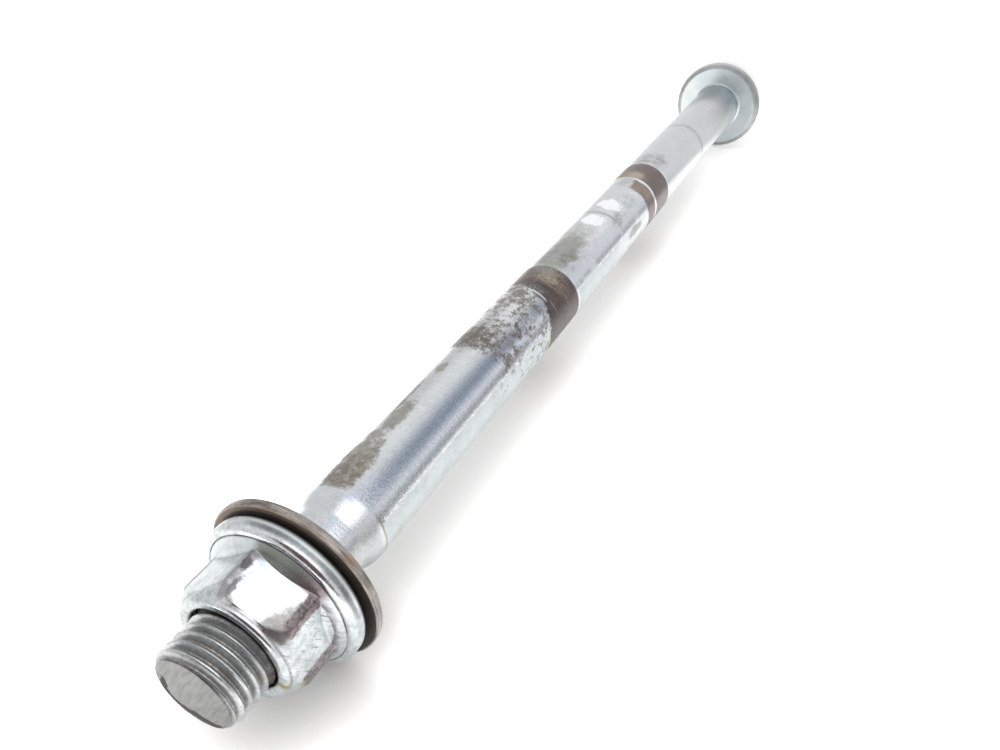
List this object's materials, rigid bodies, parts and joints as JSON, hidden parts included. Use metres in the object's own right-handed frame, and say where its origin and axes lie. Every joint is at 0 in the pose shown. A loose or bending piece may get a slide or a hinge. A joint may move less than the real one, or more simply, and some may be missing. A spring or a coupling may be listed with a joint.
{
  "type": "rear wheel axle",
  "caption": "Long round steel wheel axle with a hexagonal flange head, a threaded end, a plain washer and a self-locking flange nut.",
  "frame": {"origin": "centre of the head's flat end face, on which the axle stands", "axes": "+Z along the axle from the head to the end of the thread; +X faces one flat of the head's hexagon"},
  "size_m": [0.0292, 0.0292, 0.269],
  "materials": {
    "satin_zinc": "zinc plate, satin, stained and rusted in two rings",
    "bright_zinc": "bright zinc plate, scuffed at the corners",
    "bare_steel": "bare steel, brownish and worn",
    "spring_steel": "dark spring steel, dirty"
  },
  "bodies": {
    "axle": {"axle_bolt": "satin_zinc"},
    "washer": {"plain_washer": "bare_steel"},
    "locking_ring": {"friction_ring": "spring_steel"},
    "nut": {"flange_nut": "bright_zinc"}
  },
  "joints": [
    {"name": "washer_slide", "type": "slide", "parent": "axle", "child": "washer", "axis": [0, 0, -1], "range_m": [0, 0.0094]},
    {"name": "nut_travel", "type": "slide", "parent": "axle", "child": "locking_ring", "axis": [0, 0, 1], "range_m": [0, 0.0201]},
    {"name": "nut_turn", "type": "hinge", "parent": "locking_ring", "child": "nut", "pos_m": [0, 0, 0.25], "axis": [0, 0, 1], "range_deg": [0, 4800]}
  ],
  "couplings": [
    {"joint": "nut_travel", "follows": "nut_turn", "m_per_rad": 0.00023873}
  ]
}
